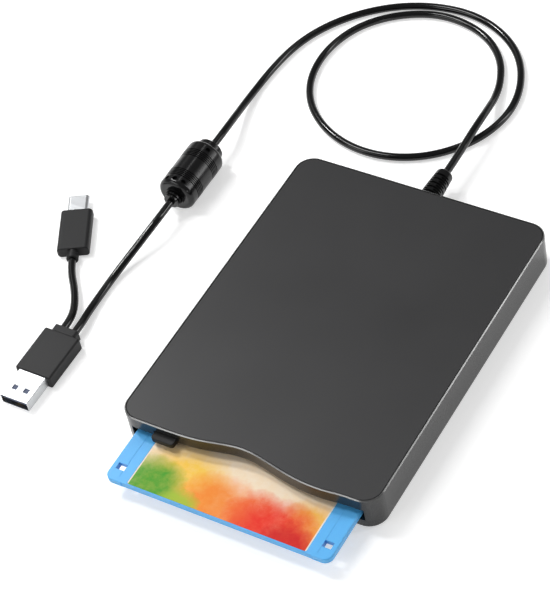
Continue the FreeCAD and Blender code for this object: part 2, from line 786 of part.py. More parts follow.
def eject_spring():
    x = (eject_spring_ear_x[0] + eject_spring_ear_x[1]) / 2
    return coil_spring(V(x, eject_spring_y[0], spring_z), V(x, eject_spring_y[1], spring_z), 9)


def disk_ejector():
    z = (z_slide, z_slide_top)
    bar_x = (opener_x + opener_shift[0] - 2.9, ejector_stud[0] + 4)
    bar = box(bar_x, (opener_y - 2.7, disk_rear + 1.0), z)
    arm = box((ejector_stud[0] - 4, ejector_stud[0] + 4), (ejector_ear_y, disk_rear), z)
    tab_y = (disk_rear + 0.15, disk_rear + 0.45 + sheet)
    tab = box(ejector_tab_x, tab_y, (disk_mid - 1.0, z[0] + 0.1))
    ear = box(ejector_ear_x, (ejector_ear_y, ejector_ear_y + ear_t), (z[0], ear_top))
    body = bar.fuse([arm, tab, ear])
    through = (z[0] - 1, z[1] + 1)
    slot = stadium((opener_x + opener_shift[0] - 0.2, opener_y), (opener_x + 0.2, opener_y),
                   pin_r + 0.15, through)
    guide = stadium((ejector_stud[0], ejector_stud[1] - disk_travel - 0.2),
                    (ejector_stud[0], ejector_stud[1] + 0.2), stud_slot_r, through)
    return body.cut([slot, guide]).removeSplitter()


def ejector_spring():
    x = (ejector_ear_x[0] + ejector_ear_x[1]) / 2
    return coil_spring(V(x, ejector_spring_y[0], spring_z), V(x, ejector_spring_y[1], spring_z), 12)


def shutter_opener():
    pin = disc(opener_x, opener_y, (disk_mid - 1.0, z_slide_top + 0.15), pin_r)
    cap = disc(opener_x, opener_y, (z_slide_top + 0.15, z_slide_top + 0.75), 1.9)
    return pin.fuse(cap).removeSplitter()


# ------------------------------------------------------------------ boards


def circuit_board(x, supports):
    """A board along the back of the chassis on three feet, placed from the board's front left corner."""
    board = box(x, board_y, (board_z, board_z + board_t))
    feet = [disc(x[0] + dx, board_y[0] + dy, (z_deck, board_z), 1.5) for dx, dy in supports]
    return board.fuse(feet).removeSplitter()


def drive_board():
    return circuit_board(drive_board_x, [(3.5, 3.0), (3.5, 16.0), (21.5, 3.0)])


def bridge_board():
    return circuit_board(bridge_board_x, [(7.0, 3.0), (31.0, 3.0), (31.0, 16.0)])


def board_parts(corner_x, chips, sockets):
    """Chips placed from the board's front left corner, and sockets placed as they are."""
    z = board_z + board_t
    pieces = [box((corner_x + dx, corner_x + dx + w), (board_y[0] + dy, board_y[0] + dy + d), (z, z + h))
              for dx, dy, w, d, h in chips]
    pieces += [box((x, x + size[0]), (y, y + size[1]), (z, z + size[2])) for x, y, size in sockets]
    return Part.makeCompound(pieces)


def drive_board_parts():
    return board_parts(drive_board_x[0],
                       [(9.5, 3, 11, 11, 1.3), (22.5, 4, 4, 5, 1.0), (2.5, 12, 5, 3, 0.9)],
                       [(ribbon_plug_x[1], ribbon_plug_y, ribbon_plug)])


def bridge_board_parts():
    return board_parts(bridge_board_x[0], [(11, 4, 9, 9, 1.3), (24, 6, 5, 3.2, 1.4), (5, 12, 4, 4, 1.0)],
                       [(ribbon_plug_x[0], ribbon_plug_y, ribbon_plug),
                        (lead_socket_x, board_y[1] - 0.5 - lead_socket[1], lead_socket)])


def board_ribbon():
    """The flat cable between the two boards, over the stepper motor."""
    t = 0.15
    z0 = board_z + board_t + ribbon_plug[2]
    z1 = screw_z + stepper_r + 0.6
    left = ribbon_plug_x[0] + ribbon_plug[0] / 2
    right = ribbon_plug_x[1] + ribbon_plug[0] / 2
    outer = [(left, z0), (left, z1 + t), (right, z1 + t), (right, z0), (right - t, z0),
             (right - t, z1), (left + t, z1), (left + t, z0)]
    corners = [V(a, ribbon_plug_y + 0.3, b) for a, b in outer]
    face = Part.Face(Part.makePolygon(corners + corners[:1]))
    return face.extrude(V(0, ribbon_plug[1] - 0.6, 0))


# ------------------------------------------------------------------ diskette


def disk_slab(z):
    """The diskette's plan: round corners at the label end, a key chamfer at the shutter end.

    The lower edge is bevelled all round and the upper one chamfered.
    """
    half = disk_w / 2
    slab = box((-half, half), (disk_front, disk_rear), z)
    slab = rounded(slab, disk_corner_r[0], Z_AXIS, lambda p: p.y < disk_front + 1)
    slab = rounded(slab, disk_corner_r[1], Z_AXIS, lambda p: p.y > disk_rear - 1 and p.x < 0)
    through = (z[0] - 1, z[1] + 1)
    key = prism([(half - disk_key, disk_rear), (half + 1, disk_rear + 1), (half, disk_rear - disk_key)],
                through)
    slab = slab.cut(key)
    outer_z, cut_back = (disk_z, disk_bevel) if z[0] == disk_z else (disk_top, disk_chamfer)
    rim = [e for e in slab.Edges if abs(e.BoundBox.ZMin - outer_z) + abs(e.BoundBox.ZMax - outer_z) < 0.01]
    slab = slab.makeChamfer(cut_back, rim)
    half_thumb, depth = disk_thumb
    return slab.cut(box((-half_thumb, half_thumb), (disk_front - 1, disk_front + depth), through))


def disk_openings(z):
    """What both shells leave open: the head window, the shutter's notch and the two sensing holes."""
    through = (z[0] - 1, z[1] + 1)
    window_y = (disk_hub_y + window_r[0], disk_hub_y + window_r[1])
    window = box((-window_w / 2, window_w / 2), window_y, through)
    notch = box((shutter_left - shutter_travel - 0.4, notch_right), (disk_rear - notch_d, disk_rear + 1),
                through)
    return [window, notch]


def shutter_bay(z):
    return box((shutter_left - shutter_travel - 0.3, shutter_right + 0.3),
               (disk_rear - shutter_l - 0.3, disk_rear + 1), z)


def spring_pocket(z):
    return prism([(-38, disk_rear - 2.8), (-38, disk_rear - 7.6), (-31, disk_rear - 7.6),
                  (-11, disk_rear - notch_d), (-26, disk_rear - notch_d)], z)


def disk_lower_shell():
    z = (disk_z, disk_mid)
    x0 = sense_x - tab_slot_w / 2
    side = sense_hole[0] / 2 + sense_flare[0]
    cuts = disk_openings(z) + [
        disc(0, disk_hub_y, (disk_z + disk_wall, disk_mid), media_r + media_gap),
        disc(0, disk_hub_y, (disk_z - 1, disk_mid), hub_r + 0.6),
        shutter_bay((disk_z, disk_z + shutter_t + 0.05)),
        spring_pocket((disk_mid - 0.75, disk_mid)),
        box((x0, x0 + tab_slot_w), tab_slot_y, (z[0] - 1, z[1] + 1)),
        box((-sense_x - side, -sense_x + side), (sense_span[0], sense_span[1] + sense_flare[1]),
            (z[0] - 1, z[1] + 1)),
    ]
    return disk_slab(z).cut(cuts).removeSplitter()


def disk_upper_shell():
    z = (disk_mid, disk_top)
    holes = [box((x - sense_hole[0] / 2, x + sense_hole[0] / 2), sense_span, (z[0] - 1, z[1] + 1))
             for x in (-sense_x, sense_x)]
    label_y = (disk_front + label_edge - 0.1, disk_front + label_edge + label_l + 0.1)
    groove_x, groove_w, groove_d = disk_groove
    groove_y = (disk_front + 2.0, disk_rear - shutter_l - 2.0)
    groove = box((groove_x - groove_w / 2, groove_x + groove_w / 2), groove_y,
                 (disk_top - groove_d, disk_top + 1))
    cuts = disk_openings(z) + holes + [
        disc(0, disk_hub_y, (disk_mid, disk_top - disk_wall), media_r + media_gap),
        shutter_bay((disk_top - shutter_t - 0.05, disk_top)),
        spring_pocket((disk_mid, disk_mid + 0.75)),
        box((-label_w / 2 - 0.1, label_w / 2 + 0.1), label_y, (disk_top - label_t - 0.03, disk_top + 1)),
        groove, mirrored(groove),
    ]
    return disk_slab(z).cut(cuts).removeSplitter()


def disk_label():
    y = (disk_front + label_edge, disk_front + label_edge + label_l)
    z = (disk_top - label_t - 0.03, disk_top - 0.03)
    return rounded_box((-label_w / 2, label_w / 2), y, z, 0.8, Z_AXIS)


def disk_shutter():
    x = (shutter_left, shutter_right)
    y = (disk_rear - shutter_l, disk_rear)
    outer = box(x, y, (disk_z, disk_top))
    inner = box((x[0] - 1, x[1] + 1), (y[0] - 1, y[1] - shutter_t),
                (disk_z + shutter_t, disk_top - shutter_t))
    window_y = (disk_hub_y + window_r[0] - 0.5, disk_hub_y + window_r[1] + 0.5)
    window = box((shutter_travel - window_w / 2, shutter_travel + window_w / 2), window_y,
                 (disk_z - 1, disk_top + 1))
    return outer.cut([inner, window])


def shutter_spring():
    """A torsion spring: two close turns in the shell's corner and a leg against the shutter."""
    centre = (-34.5, disk_rear - 5.2)
    coil = disc(*centre, (disk_mid - 0.55, disk_mid + 0.55), 1.7)
    coil = coil.cut(disc(*centre, (disk_mid - 1, disk_mid + 1), 1.2))
    start = V(centre[0] + 0.4, centre[1] + 1.3, disk_mid)
    end = V(shutter_left - 0.6, disk_rear - notch_d / 2 - 0.3, disk_mid)
    leg = Part.makeCylinder(0.25, start.distanceToPoint(end), start, end - start)
    return coil.fuse(leg).removeSplitter()


def disk_hub():
    z = (disk_mid - media_t / 2 - hub_t, disk_mid - media_t / 2)
    body = disc(0, disk_hub_y, z, hub_r)
    half = shaft_r + 0.05
    through = (z[0] - 1, z[1] + 1)
    square = box((-half, half), (disk_hub_y - half, disk_hub_y + half), through)
    slot = box((drive_pin_x - 1.6, drive_pin_x + 1.6), (disk_hub_y - 4.0, disk_hub_y + 4.0), through)
    return body.cut([square, slot])


def disk_media():
    z = (disk_mid - media_t / 2, disk_mid + media_t / 2)
    return disc(0, disk_hub_y, z, media_r).cut(disc(0, disk_hub_y, (z[0] - 1, z[1] + 1), 5.0))


def write_protect_tab():
    x = (sense_x - tab_slot_w / 2 + 0.1, sense_x + tab_slot_w / 2 - 0.1)
    y = (tab_slot_y[0] + 0.1, tab_slot_y[1] - tab_travel - 0.1)
    tab = box(x, y, (disk_z + 0.2, disk_mid - 0.05))
    grip = box((x[0] + 0.8, x[1] - 0.8), (y[0] + 1.0, y[0] + 1.6), (disk_z, disk_z + 0.3))
    return tab.fuse(grip).removeSplitter()


# ------------------------------------------------------------------ cord, bead and plugs


def on_plug_c_axis(distance):
    """The place in plan of a point on the USB-C plug's axis, ahead of its rear face."""
    angle = math.radians(plug_c_turn)
    return plug_c_rear[0] - distance * math.sin(angle), plug_c_rear[1] + distance * math.cos(angle)


cord_route = (
    (relief_x, back + relief_l, relief_z), (relief_x, 94, relief_z), (-1.0, 105, 8.0), (-1.4, 114, 7.5),
    (-2.6, 123, 5.2), (-4.2, 132, 2.3), (-6.6, 141.5, 1.5), (-12, 152.5, 1.5), (-21.5, 161.5, 1.5),
    (-33.5, 166.5, 1.5), (-47, 167.5, 1.5), (-60, 163, 1.5), (-71, 154.5, 1.5), (-77.5, 144, 1.5),
    (-80.5, 130.5, 1.5), (-78.5, 116, 1.5), (-71.5, 103.5, 1.5), (-60, 94, 1.5), (-46.5, 88.8, 1.5),
    (-32.5, 88.2, 1.5), (-19, 92.3, 1.5), (-7.5, 100.8, 1.5), (1, 113, 1.5), (4.5, 127.5, 1.5),
    (2.2, 142, 1.5), (-5.5, 156.5, 1.5), (-18, 166.8, 1.5), (-33, 172.2, 1.5), (-48.5, 171.8, 1.5),
    (-63, 167.2, 1.5), (-75.5, 159, 1.5), (-85.5, 148, 1.5), (-92.3, 135, 1.5), (-95.5, 119.5, 1.5),
    (-96.2, 98.5, 1.5), (bead_x, 75.0, bead_r),
    (bead_x, 20.5, bead_r), (-96.4, -3.0, 1.5), (-96.0, -16.5, 1.5),
    (-95.3, -23.5, 2.2), (cord_entry_x, -29.8, plug_a_z), (cord_entry_x, plug_a_rear, plug_a_z),
)
pigtail_route = (
    (pigtail_entry_x, plug_a_rear, plug_a_z), (pigtail_entry_x, -29.6, plug_a_z),
    (-101.1, -23.6, 2.9), (-105.9, -16.3, 2.6),
    (*on_plug_c_axis(-plug_c_collar - 5.6), plug_c_z), (*on_plug_c_axis(-plug_c_collar), plug_c_z),
)


def free_cord(name, route):
    solid, radii, length = tube([V(*point) for point in route], cord_r)
    print(name, "length", round(length, 1), "radii", radii)
    return solid


def cord():
    return free_cord("cord", cord_route)


def pigtail_cord():
    return free_cord("pigtail_cord", pigtail_route)


def inner_lead():
    """The cord's end inside the case, from the strain relief to the bridge board's connector."""
    socket_x = lead_socket_x + lead_socket[0] / 2
    socket_z = board_z + board_t + lead_socket[2] / 2
    points = [V(relief_x, inner_back - 2.0, relief_z), V(relief_x, inner_back - 5.4, relief_z),
              V(relief_x - 5.2, inner_back - 8.9, socket_z + 0.7), V(socket_x, inner_back - 10.9, socket_z),
              V(socket_x, board_y[1] - 0.5, socket_z)]
    return tube(points, cord_r)[0]


def strain_relief():
    """A tapered sleeve, slotted by quadrants: each ring of slots is turned a quarter from the last."""
    tip_round = 1.2
    base = V(relief_x, back, relief_z)
    cone = Part.makeCone(relief_base_r, relief_tip_r, relief_l, base, Y_AXIS)
    core_r = (relief_base_r - relief_slot_d, relief_tip_r - relief_slot_d)
    core = Part.makeCone(*core_r, relief_l, base, Y_AXIS)
    tip = [e for e in cone.Edges if e.BoundBox.YMin > back + relief_l - 0.1]
    cone = cone.makeFillet(tip_round, tip)
    slots = []
    for i in range(2 * relief_slots):
        y = back + 2.2 + i * relief_pitch / 2
        ring = rod_along_y(relief_x, relief_z, (y, y + relief_slot_w), relief_base_r + 1).cut(core)
        across = (i % 2) * relief_base_r
        up = relief_base_r - across
        web = box((relief_x - relief_web / 2 - across, relief_x + relief_web / 2 + across), (y - 1, y + 3),
                  (relief_z - relief_web / 2 - up, relief_z + relief_web / 2 + up))
        slots.append(ring.cut(web))
    neck = rod_along_y(relief_x, relief_z, (inner_back - 1, back + 0.5), relief_neck_r)
    flange = rod_along_y(relief_x, relief_z, (inner_back - 2, inner_back), relief_flange_r)
    return cone.cut(slots).fuse([neck, flange]).removeSplitter()


def bead_profile(points):
    """A solid turned about the cord's axis through the bead."""
    corners = [V(bead_x + r, y, bead_r) for y, r in points]
    face = Part.Face(Part.makePolygon(corners + corners[:1]))
    return face.revolve(V(bead_x, 0, bead_r), Y_AXIS, 360)


def ferrite_shell():
    """The moulded jacket: a barrel with round shoulders, a ribbed boss in front and a collar behind."""
    y0, y1 = bead_y
    b0, b1 = bead_body_y
    ribs = []
    for (start, r), (following, _) in zip(bead_ribs, bead_ribs[1:]):
        rib_end = y0 + start + bead_rib_w
        ribs += [(y0 + start, r), (rib_end, r), (rib_end, r - bead_rib_d), (y0 + following, r - bead_rib_d)]
    start, r = bead_ribs[-1]
    ribs += [(y0 + start, r), (b0, r)]
    body = bead_profile([(y0, cord_r)] + ribs
                        + [(b0, bead_r), (b1, bead_r), (b1, bead_collar_r), (y1 - 0.5, bead_collar_r),
                           (y1, bead_collar_r - 0.5), (y1, cord_r)])
    shoulders = [e for e in body.Edges
                 if isinstance(e.Curve, Part.Circle) and math.isclose(e.Curve.Radius, bead_r)]
    body = body.makeFillet(bead_shoulder, shoulders)
    cuts = [rod_along_y(bead_x, bead_r, bead_core_y, bead_core_r)]
    for start in bead_ring_starts:
        for i in range(bead_ring_count):
            y = start + i * 2 * bead_ring_w
            ring = rod_along_y(bead_x, bead_r, (y, y + bead_ring_w), bead_r + 1)
            cuts.append(ring.cut(rod_along_y(bead_x, bead_r, (y - 1, y + 2), bead_r - bead_ring_d)))
    for y, angles in bead_dimples:
        for angle in angles:
            dimple = Part.makeCylinder(bead_dimple_r, 2.0, V(bead_r - 1.0, y, 0), X_AXIS)
            cuts.append(around_bead(dimple, -angle))
    return body.cut(cuts).removeSplitter()


def around_bead(shape, angle):
    """Turns a shape made beside the Y axis about it, and moves it onto the bead's axis."""
    shape.rotate(V(0, 0, 0), Y_AXIS, angle)
    shape.translate(V(bead_x, 0, bead_r))
    return shape


def ferrite_core():
    core = rod_along_y(bead_x, bead_r, bead_core_y, bead_core_r)
    return core.cut(rod_along_y(bead_x, bead_r, (bead_core_y[0] - 1, bead_core_y[1] + 1), cord_r))


def across_plug_a(w):
    return plug_a_x - w / 2, plug_a_x + w / 2


def usb_a_grip():
    w, l, h = plug_a_size
    bw, _, bh = plug_a_block
    rear = plug_a_front + l
    body = box(across_plug_a(w), (plug_a_front, rear), (0, h))
    body = body.makeFillet(plug_a_round, body.Edges)
    block_z = (plug_a_z - bh / 2, plug_a_z + bh / 2)
    block = rounded_box(across_plug_a(bw), (rear - 1, plug_a_rear), block_z, 1.0, Y_AXIS)
    pocket = box(across_plug_a(shell_a[0]), (plug_a_front - 1, plug_a_front + shell_grip), shell_a_z)
    return body.fuse(block).cut(pocket).removeSplitter()


def usb_a_shell():
    w, l, _ = shell_a
    y = (plug_a_front - l, plug_a_front + shell_grip)
    body = rounded_box(across_plug_a(w), y, shell_a_z, 0.4, Y_AXIS)
    hollow = box(across_plug_a(w - 2 * shell_t), (y[0] - 1, y[1] + 1),
                 (shell_a_z[0] + shell_t, shell_a_z[1] - shell_t))
    side, off_axis, from_mouth = shell_a_hole
    hole_y = (y[0] + from_mouth - side / 2, y[0] + from_mouth + side / 2)
    hole_z = (shell_a_z[0] - 1, shell_a_z[1] + 1)
    holes = [box((plug_a_x + s * off_axis - side / 2, plug_a_x + s * off_axis + side / 2), hole_y, hole_z)
             for s in (-1, 1)]
    return body.cut([hollow] + holes)


def usb_a_tongue():
    w, l, _ = shell_a
    rear = plug_a_front + shell_grip
    top = shell_a_z[1] - shell_t
    tongue = box(across_plug_a(w - 2 * shell_t - 0.2), (plug_a_front - l + 0.6, rear), (tongue_a_z, top))
    base = box(across_plug_a(w - 2 * shell_t), (plug_a_front + 1, rear), (shell_a_z[0] + shell_t, top))
    return tongue.fuse(base).removeSplitter()


def usb_a_contacts():
    y = (plug_a_front - shell_a[1] + 2.0, plug_a_front + 1)
    z = (tongue_a_z - 0.15, tongue_a_z)
    return Part.makeCompound([box((plug_a_x + x - 0.5, plug_a_x + x + 0.5), y, z)
                              for x in (-3.5, -1.0, 1.0, 3.5)])


def place_plug_c(shape):
    """From the USB-C plug's own frame, nose along +Y from its rear face, to where it lies."""
    shape.rotate(V(0, 0, 0), Z_AXIS, plug_c_turn)
    shape.translate(V(plug_c_rear[0], plug_c_rear[1], 0))
    return shape


def capsule(w, h, y, z):
    """A bar along Y with half round sides."""
    x = (-w / 2 + h / 2, w / 2 - h / 2)
    body = box(x, y, (z - h / 2, z + h / 2))
    return body.fuse([rod_along_y(side, z, y, h / 2) for side in x]).removeSplitter()


def usb_c_grip():
    w, l, h = plug_c_size
    body = box((-w / 2, w / 2), (0, l), (0, h))
    body = rounded(body, plug_c_round[0], Y_AXIS)
    ends = [e for e in body.Edges if e.BoundBox.YLength < 0.01]
    body = body.makeFillet(plug_c_round[1], ends)
    neck = rod_along_y(0, plug_c_z, (-plug_c_neck[1], 1.0), plug_c_neck[0])
    ring = rod_along_y(0, plug_c_z, (-plug_c_collar, -plug_c_neck[1]), plug_c_ring[0])
    ring = ring.makeFillet(0.4, [e for e in ring.Edges if isinstance(e.Curve, Part.Circle)])
    body = body.fuse([neck, ring]).cut(capsule(shell_c[0], shell_c[2], (l - 3, l + 1), plug_c_z))
    return place_plug_c(body.removeSplitter())


def usb_c_shell():
    y = (plug_c_size[1] - 3, plug_c_size[1] + shell_c[1])
    z = plug_c_z
    body = capsule(shell_c[0], shell_c[2], y, z)
    hollow = capsule(shell_c[0] - 2 * shell_t, shell_c[2] - 2 * shell_t, (y[0] + 1, y[1] + 1), z)
    return place_plug_c(body.cut(hollow))


def usb_c_tongue():
    y = (plug_c_size[1] - 2, plug_c_size[1] + shell_c[1] - 0.8)
    z = plug_c_z
    w = shell_c[0] - 2 * shell_t
    h = shell_c[2] - 2 * shell_t
    body = capsule(w, h, y, z)
    mouth = box((-w / 2 + 0.5, w / 2 - 0.5), (y[0] + 2, y[1] + 1), (z - 0.35, z + 0.35))
    return place_plug_c(body.cut(mouth))


# ------------------------------------------------------------------ all pieces

PIECES = (
    lower_case, top_cover, rubber_feet, lid_screws,
    chassis, chassis_screws, shield_plate, disk_holder,
    motor_board, motor_bearing, motor_stator, stator_coils, rotor, rotor_magnet, spindle_shaft, drive_pin,
    stepper_motor, lead_screw, guide_rod, head_carriage, lower_head, arm_pivot_pin, arm_spring,
    upper_head_arm, upper_head,
    eject_slide, eject_button, eject_spring, disk_ejector, ejector_spring, shutter_opener,
    drive_board, drive_board_parts, bridge_board, bridge_board_parts, board_ribbon, inner_lead,
    disk_lower_shell, disk_upper_shell, disk_label, disk_shutter, shutter_spring, disk_hub, disk_media,
    write_protect_tab,
    strain_relief, cord, ferrite_shell, ferrite_core, usb_a_grip, usb_a_shell, usb_a_tongue, usb_a_contacts,
    pigtail_cord, usb_c_grip, usb_c_shell, usb_c_tongue,
)

os.makedirs("parts", exist_ok=True)
for piece in PIECES:
    shape = piece()
    print(piece.__name__, len(shape.Solids), "solids", shape.isValid(), round(shape.Volume, 1))
    shape.exportStep("parts/" + piece.__name__ + ".step")
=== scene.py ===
"""Looks of the external floppy disk drive: camera, light, cords and the finish of every piece. Metres."""
import json

import bpy
from mathutils import Matrix, Vector


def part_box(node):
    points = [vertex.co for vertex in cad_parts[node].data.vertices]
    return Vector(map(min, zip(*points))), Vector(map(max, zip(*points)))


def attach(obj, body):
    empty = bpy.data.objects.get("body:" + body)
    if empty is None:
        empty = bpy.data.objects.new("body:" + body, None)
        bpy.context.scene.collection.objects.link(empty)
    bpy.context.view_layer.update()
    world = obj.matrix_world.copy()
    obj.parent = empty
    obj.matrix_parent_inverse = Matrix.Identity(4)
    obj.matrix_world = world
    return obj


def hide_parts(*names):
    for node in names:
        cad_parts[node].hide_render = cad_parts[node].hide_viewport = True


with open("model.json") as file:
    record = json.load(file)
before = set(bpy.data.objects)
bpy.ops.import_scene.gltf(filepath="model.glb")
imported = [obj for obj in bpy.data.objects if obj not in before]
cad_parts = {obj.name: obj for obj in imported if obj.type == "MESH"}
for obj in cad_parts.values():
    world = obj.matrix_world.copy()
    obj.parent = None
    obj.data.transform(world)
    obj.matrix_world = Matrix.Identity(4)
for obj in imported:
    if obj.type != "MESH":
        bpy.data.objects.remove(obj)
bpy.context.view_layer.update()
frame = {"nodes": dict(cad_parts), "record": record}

MM = 0.001
MICRON = 0.000001

# ------------------------------------------------------------------ camera

# place and turn fitted to the photograph; lens and sensor width in millimetres
CAMERA_PLACE = (0.356665, -0.463355, 0.677227)
CAMERA_RIGHT = (0.857697, 0.491304, -0.151578)
CAMERA_AHEAD = (-0.427731, 0.518221, -0.740603)
CAMERA_LENS = 162.73
CAMERA_SENSOR = 36.0
CAMERA_NEAREST = 0.01
CAMERA_FARTHEST = 20.0


def make_camera():
    data = bpy.data.cameras.new("camera")
    data.sensor_fit = "HORIZONTAL"
    data.sensor_width = CAMERA_SENSOR
    data.lens = CAMERA_LENS
    data.clip_start = CAMERA_NEAREST
    data.clip_end = CAMERA_FARTHEST
    camera = bpy.data.objects.new("camera", data)
    right = Vector(CAMERA_RIGHT).normalized()
    back = -Vector(CAMERA_AHEAD).normalized()
    up = back.cross(right)
    turn = Matrix((right, up, back)).transposed().to_4x4()
    camera.matrix_world = Matrix.Translation(CAMERA_PLACE) @ turn
    bpy.context.collection.objects.link(camera)
    bpy.context.scene.camera = camera


# ------------------------------------------------------------------ stage and light

FLOOR_SIZE = 6.0
WALL_HEIGHT = 0.7
# the floor lies a little below z = 0, where the feet stand
FLOOR_DROP = 0.2 * MM
# what the floor and wall reflect, and the glow that lifts them to white where they are seen
FLOOR_GREY = 0.8
FLOOR_GLOW = 0.5
WORLD_STRENGTH = 0.24


def seen_directly(tree):
    """One where a ray comes from the camera, from a mirror-like reflection or through glass, else zero."""
    path = tree.nodes.new("ShaderNodeLightPath")
    value = path.outputs["Is Camera Ray"]
    for name in ("Is Glossy Ray", "Is Transmission Ray"):
        most = tree.nodes.new("ShaderNodeMath")
        most.operation = "MAXIMUM"
        tree.links.new(value, most.inputs[0])
        tree.links.new(path.outputs[name], most.inputs[1])
        value = most.outputs["Value"]
    return value


def stage_white():
    """The white of the floor and the low wall round it, lifted where it is seen and not where it lights."""
    material = bpy.data.materials.new("stage_white")
    material.use_nodes = True
    tree = material.node_tree
    tree.nodes.clear()
    diffuse = tree.nodes.new("ShaderNodeBsdfDiffuse")
    diffuse.inputs["Color"].default_value = (FLOOR_GREY, FLOOR_GREY, FLOOR_GREY, 1)
    glow = tree.nodes.new("ShaderNodeEmission")
    strength = tree.nodes.new("ShaderNodeMath")
    strength.operation = "MULTIPLY"
    strength.inputs[1].default_value = FLOOR_GLOW
    tree.links.new(seen_directly(tree), strength.inputs[0])
    tree.links.new(strength.outputs["Value"], glow.inputs["Strength"])
    both = tree.nodes.new("ShaderNodeAddShader")
    tree.links.new(diffuse.outputs["BSDF"], both.inputs[0])
    tree.links.new(glow.outputs["Emission"], both.inputs[1])
    out = tree.nodes.new("ShaderNodeOutputMaterial")
    tree.links.new(both.outputs["Shader"], out.inputs["Surface"])
    return material


def make_stage():
    """A square floor with a wall on its four sides, open above."""
    half = FLOOR_SIZE / 2
    plan = ((-half, -half), (half, -half), (half, half), (-half, half))
    corners = [(x, y, z) for z in (-FLOOR_DROP, WALL_HEIGHT) for x, y in plan]
    sides = [(i, (i + 1) % 4, (i + 1) % 4 + 4, i + 4) for i in range(4)]
    mesh = bpy.data.meshes.new("stage")
    mesh.from_pydata(corners, [], [(0, 1, 2, 3)] + sides)
    mesh.materials.append(stage_white())
    stage = bpy.data.objects.new("stage", mesh)
    bpy.context.collection.objects.link(stage)


def make_world():
    world = bpy.data.worlds.new("studio")
    bpy.context.scene.world = world
    world.use_nodes = True
    sky = world.node_tree.nodes["Background"]
    sky.inputs["Color"].default_value = (1, 1, 1, 1)
    sky.inputs["Strength"].default_value = WORLD_STRENGTH


# name, place, point aimed at, width, height, power in watts
SOFTBOXES = (
    ("lamp_key", (-0.78, 0.285, 0.9), (0.0, 0.0, 0.0), 0.13, 0.13, 4.9),
    ("softbox_sheen", (-1.15, 0.6, 1.1), (0.0, 0.0, 0.0), 0.6, 0.6, 0.8),
    ("softbox_above", (-0.2, 0.85, 1.35), (-0.05, 0.05, 0.0), 0.1, 0.5, 0.6),
    ("softbox_side", (1.0, 0.7, 0.58), (0.0, 0.0, 0.0), 0.2, 0.8, 3.6),
    ("softbox_front", (-0.6, -1.0, 0.7), (0.0, 0.0, 0.0), 0.9, 0.4, 4.2),
    ("softbox_strip", (-0.58, 0.0, 1.11), (-0.04, 0.13, 0.0), 0.16, 0.5, 5.6),
    ("softbox_corner", (0.85, -0.75, 0.12), (0.0, 0.0, 0.0), 0.25, 0.2, 1.5),
)


def make_softboxes():
    for name, place, aim, width, height, power in SOFTBOXES:
        data = bpy.data.lights.new(name, "AREA")
        data.shape = "RECTANGLE"
        data.size = width
        data.size_y = height
        data.energy = power
        lamp = bpy.data.objects.new(name, data)
        lamp.location = place
        toward = Vector(aim) - Vector(place)
        lamp.rotation_mode = "QUATERNION"
        lamp.rotation_quaternion = toward.to_track_quat("-Z", "Y")
        bpy.context.collection.objects.link(lamp)


# ------------------------------------------------------------------ material helpers

# the sockets of a Mix node that mixes colours, which share their names with its other sockets
MIX_FACTOR = 0
MIX_FIRST = 6
MIX_SECOND = 7
MIX_RESULT = 2
# most of a noise texture's values lie between these two
NOISE_LOW = 0.3
NOISE_HIGH = 0.7
SOFT_EDGE_SAMPLES = 4
SPECULAR = 0.5


def linear(hex_colour):
    """A display colour such as '4d4d4d' as a linear shader colour, by the sRGB curve."""
    parts = [int(hex_colour[i:i + 2], 16) / 255 for i in (0, 2, 4)]
    return [c / 12.92 if c <= 0.04045 else ((c + 0.055) / 1.055) ** 2.4 for c in parts] + [1.0]


def shaded(colour, factor):
    return [min(1.0, c * factor) for c in colour[:3]] + [1.0]


